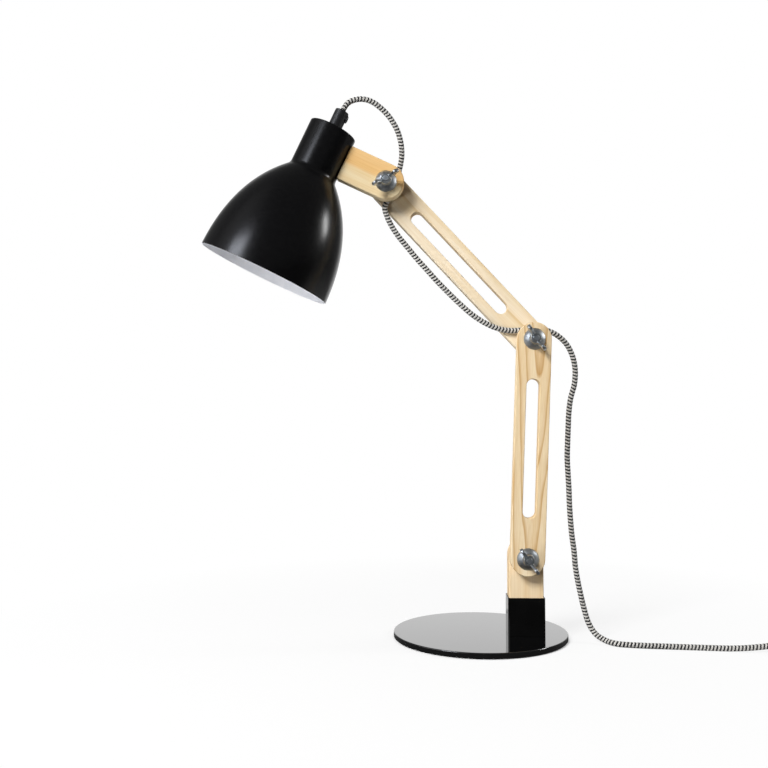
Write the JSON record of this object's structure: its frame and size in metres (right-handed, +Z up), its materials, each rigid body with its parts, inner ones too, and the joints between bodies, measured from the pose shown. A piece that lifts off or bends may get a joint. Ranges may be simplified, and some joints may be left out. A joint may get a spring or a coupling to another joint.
{
  "type": "work lamp",
  "caption": "Work lamp with a round base, slotted wooden arms joined by wing-nut pivots, a tilting bell shade and a textile-covered cord with an inline rocker switch.",
  "frame": {"origin": "centre of the base on the table", "axes": "+Z up; the head points to -X and the wing nuts face -Y"},
  "size_m": [0.6593, 0.1749, 0.4985],
  "materials": {
    "black_lacquer": "high gloss black lacquer",
    "shade_enamel": "semi-gloss black outside, white inside",
    "rubber_pad": "matt",
    "fibre": "matt",
    "pine": "satin clear lacquer",
    "golden_pine": "satin clear lacquer",
    "zinc": "bright zinc plate",
    "black_plastic": "satin",
    "brass": "plain",
    "bulb_metal": "rolled thread",
    "opal_glass": "opal",
    "textile_braid": "black and white braid",
    "tie_fabric": "hook and loop",
    "nickel": "nickel plate"
  },
  "bodies": {
    "base": {"base_plate": "black_lacquer", "base_pad": "rubber_pad", "post_socket": "black_lacquer", "base_screws": "zinc", "base_post": "pine", "base_bolt": "zinc", "pivot_shim": "fibre", "cord_drop": "textile_braid", "cord_floor": "textile_braid", "switch_lower": "black_plastic", "switch_upper": "black_plastic", "switch_screws": "zinc", "cord_coil": "textile_braid", "coil_tie": "tie_fabric", "cord_tail": "textile_braid", "plug_body": "black_plastic", "plug_sleeve": "black_plastic", "plug_pins": "nickel"},
    "base_nut": {"base_wing_nut": "zinc"},
    "lower_arm": {"lower_arm": "pine", "base_washer": "zinc", "elbow_washer": "zinc"},
    "upper_arm": {"upper_arm": "pine", "elbow_bolt": "zinc", "elbow_spacer": "zinc", "head_bolt": "zinc", "head_spacer": "zinc", "cord_head_bend": "textile_braid", "cord_arm": "textile_braid", "cord_elbow_bend": "textile_braid"},
    "elbow_nut": {"elbow_wing_nut": "zinc"},
    "head_nut": {"head_wing_nut": "zinc"},
    "head": {"head_bracket": "golden_pine", "head_washer": "zinc", "bracket_screws": "zinc", "shade": "shade_enamel", "cord_grip": "black_plastic", "grip_screw": "black_plastic", "lock_nut": "zinc", "holder_cap": "black_plastic", "holder_shell": "black_plastic", "holder_contact": "brass", "bulb_cap": "bulb_metal", "bulb_globe": "opal_glass", "cord_head": "textile_braid"},
    "rocker": {"switch_rocker": "black_plastic"}
  },
  "joints": [
    {"name": "base_pivot", "type": "hinge", "parent": "base", "child": "lower_arm", "pos_m": [0.0404, -0.0274, 0.0765], "axis": [0, 1, 0], "range_deg": [-40, 40], "deforming": ["cord_drop"]},
    {"name": "elbow_pivot", "type": "hinge", "parent": "lower_arm", "child": "upper_arm", "pos_m": [0.04762, -0.01865, 0.27337], "axis": [0, -1, 0], "range_deg": [-60, 35], "deforming": ["cord_elbow_bend"]},
    {"name": "head_pivot", "type": "hinge", "parent": "upper_arm", "child": "head", "pos_m": [-0.08623, -0.01865, 0.41791], "axis": [0, 1, 0], "range_deg": [-40, 60], "deforming": ["cord_head_bend"]},
    {"name": "base_nut_turn", "type": "hinge", "parent": "base", "child": "base_nut", "pos_m": [0.0404, -0.0405, 0.0765], "axis": [0, -1, 0], "range_deg": [0, 270]},
    {"name": "elbow_nut_turn", "type": "hinge", "parent": "upper_arm", "child": "elbow_nut", "pos_m": [0.04762, -0.0405, 0.27337], "axis": [0, -1, 0], "range_deg": [0, 270]},
    {"name": "head_nut_turn", "type": "hinge", "parent": "upper_arm", "child": "head_nut", "pos_m": [-0.08623, -0.0405, 0.41791], "axis": [0, -1, 0], "range_deg": [0, 270]},
    {"name": "switch_rock", "type": "hinge", "parent": "base", "child": "rocker", "pos_m": [0.283, -0.049, 0.0117], "axis": [0, 1, 0], "range_deg": [0, 16]}
  ]
}
